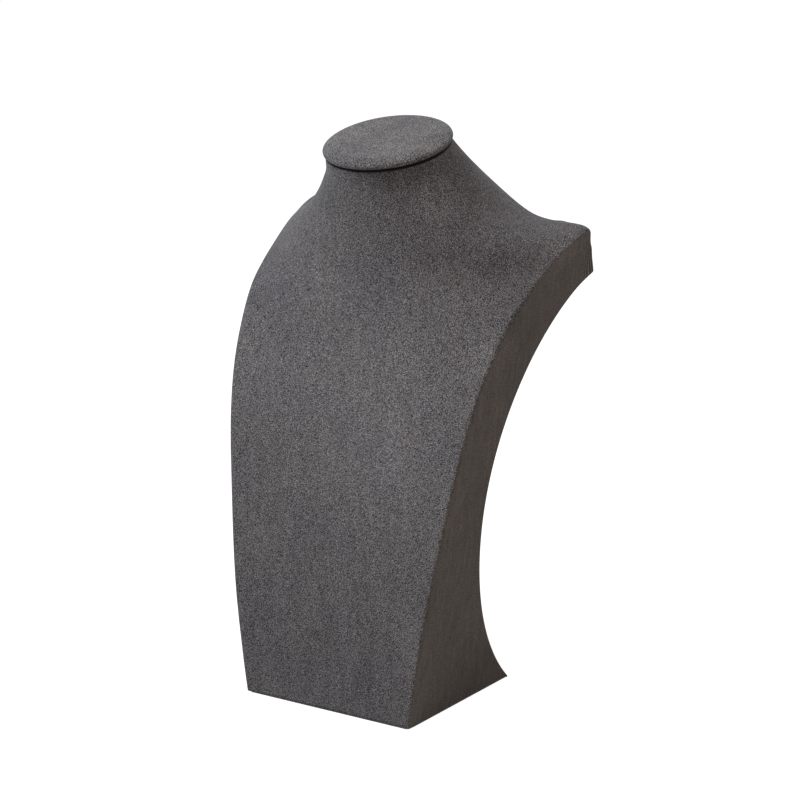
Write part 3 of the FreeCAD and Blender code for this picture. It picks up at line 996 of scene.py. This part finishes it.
def make_lights():
    """Soft square lamps, turned towards the middle of the stand."""
    for name, spot, size, power, colour in LIGHTS:
        data = bpy.data.lights.new(name, "AREA")
        data.size, data.energy, data.color = size, power, colour
        light = bpy.data.objects.new(name, data)
        light.location = spot
        light.rotation_euler = (Vector(LIGHT_TARGET) - Vector(spot)).to_track_quat("-Z", "Y").to_euler()
        bpy.context.scene.collection.objects.link(light)


def seen_white(tree, shader_output, surface_input):
    """Whatever the camera or a reflection sees of this is plain white."""
    rays = node(tree, "ShaderNodeLightPath")
    seen = Amount(tree, rays.outputs["Is Camera Ray"])
    for name in ("Is Glossy Ray", "Is Transmission Ray"):
        seen = calculate("MAXIMUM", seen, rays.outputs[name])
    for_world = surface_input.node.type == "OUTPUT_WORLD"
    glow = node(tree, "ShaderNodeBackground" if for_world else "ShaderNodeEmission")
    mix = node(tree, "ShaderNodeMixShader")
    feed(tree, seen, mix.inputs[0])
    tree.links.new(shader_output, mix.inputs[1])
    tree.links.new(glow.outputs[0], mix.inputs[2])
    tree.links.new(mix.outputs[0], surface_input)
    return glow


def make_world():
    world = bpy.data.worlds.new("studio")
    bpy.context.scene.world = world
    world.use_nodes = True
    tree = world.node_tree
    ambient = tree.nodes["Background"]
    ambient.inputs["Color"].default_value = (1, 1, 1, 1)
    ambient.inputs["Strength"].default_value = 0.15
    white = seen_white(tree, ambient.outputs[0], tree.nodes["World Output"].inputs["Surface"])
    white.inputs["Color"].default_value = (1, 1, 1, 1)
    white.inputs["Strength"].default_value = 1.0


def make_floor():
    """A pale floor that is white to the camera and keeps the shadow of the stand."""
    bpy.ops.mesh.primitive_plane_add(size=8)
    floor = bpy.context.object
    floor.name = "floor"
    material = bpy.data.materials.new("pale floor")
    material.use_nodes = True
    tree = material.node_tree
    tree.nodes["Principled BSDF"].inputs["Base Color"].default_value = (0.55, 0.55, 0.55, 1)
    tree.nodes["Principled BSDF"].inputs["Roughness"].default_value = 0.9
    surface = tree.nodes["Material Output"].inputs["Surface"]
    glow = seen_white(tree, tree.nodes["Principled BSDF"].outputs[0], surface)
    glow.inputs["Strength"].default_value = 0.96
    shade, both = node(tree, "ShaderNodeBsdfDiffuse"), node(tree, "ShaderNodeAddShader")
    shade.inputs["Color"].default_value = (0.35, 0.35, 0.35, 1)
    mix = surface.links[0].from_node
    tree.links.new(shade.outputs[0], both.inputs[0])
    tree.links.new(glow.outputs[0], both.inputs[1])
    tree.links.new(both.outputs[0], mix.inputs[2])
    floor.data.materials.append(material)


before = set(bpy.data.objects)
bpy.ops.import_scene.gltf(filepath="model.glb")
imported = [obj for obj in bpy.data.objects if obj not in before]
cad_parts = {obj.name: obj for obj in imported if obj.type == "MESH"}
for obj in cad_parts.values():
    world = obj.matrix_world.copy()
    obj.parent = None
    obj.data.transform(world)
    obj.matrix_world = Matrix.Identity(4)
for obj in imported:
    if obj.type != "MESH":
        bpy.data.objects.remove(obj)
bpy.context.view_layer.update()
bpy.context.scene.view_settings.view_transform = "Standard"
make_camera()
make_world()
make_floor()
make_lights()
nap = microfibre_nap()
crease = painted_crease_shade()
charcoal = cloth("charcoal microfibre", nap)
wrapped = cloth("charcoal microfibre wrapped", nap, crease, side_marks(), marks_and_painted_light())
# The cap's cloth is painted lighter, as its top catches more light.
capped = cloth("charcoal microfibre of the cap, painted lit", nap, crease, colours=(CAP_CHARCOAL_PAINTED_LIT, CAP_CAST_PAINTED_LIT),
               numbers=CAP_NAP)
board = flecked("raw fibreboard", FIBREBOARD)
foam = flecked("open foam", FOAM)
wrap_cover(wrapped)
back_cover(charcoal)
bottom_sheet(charcoal)
cap_cover(capped)
cap_pad(foam)
for name in ("core", "neck_cap_board"):
    paint(name, board)
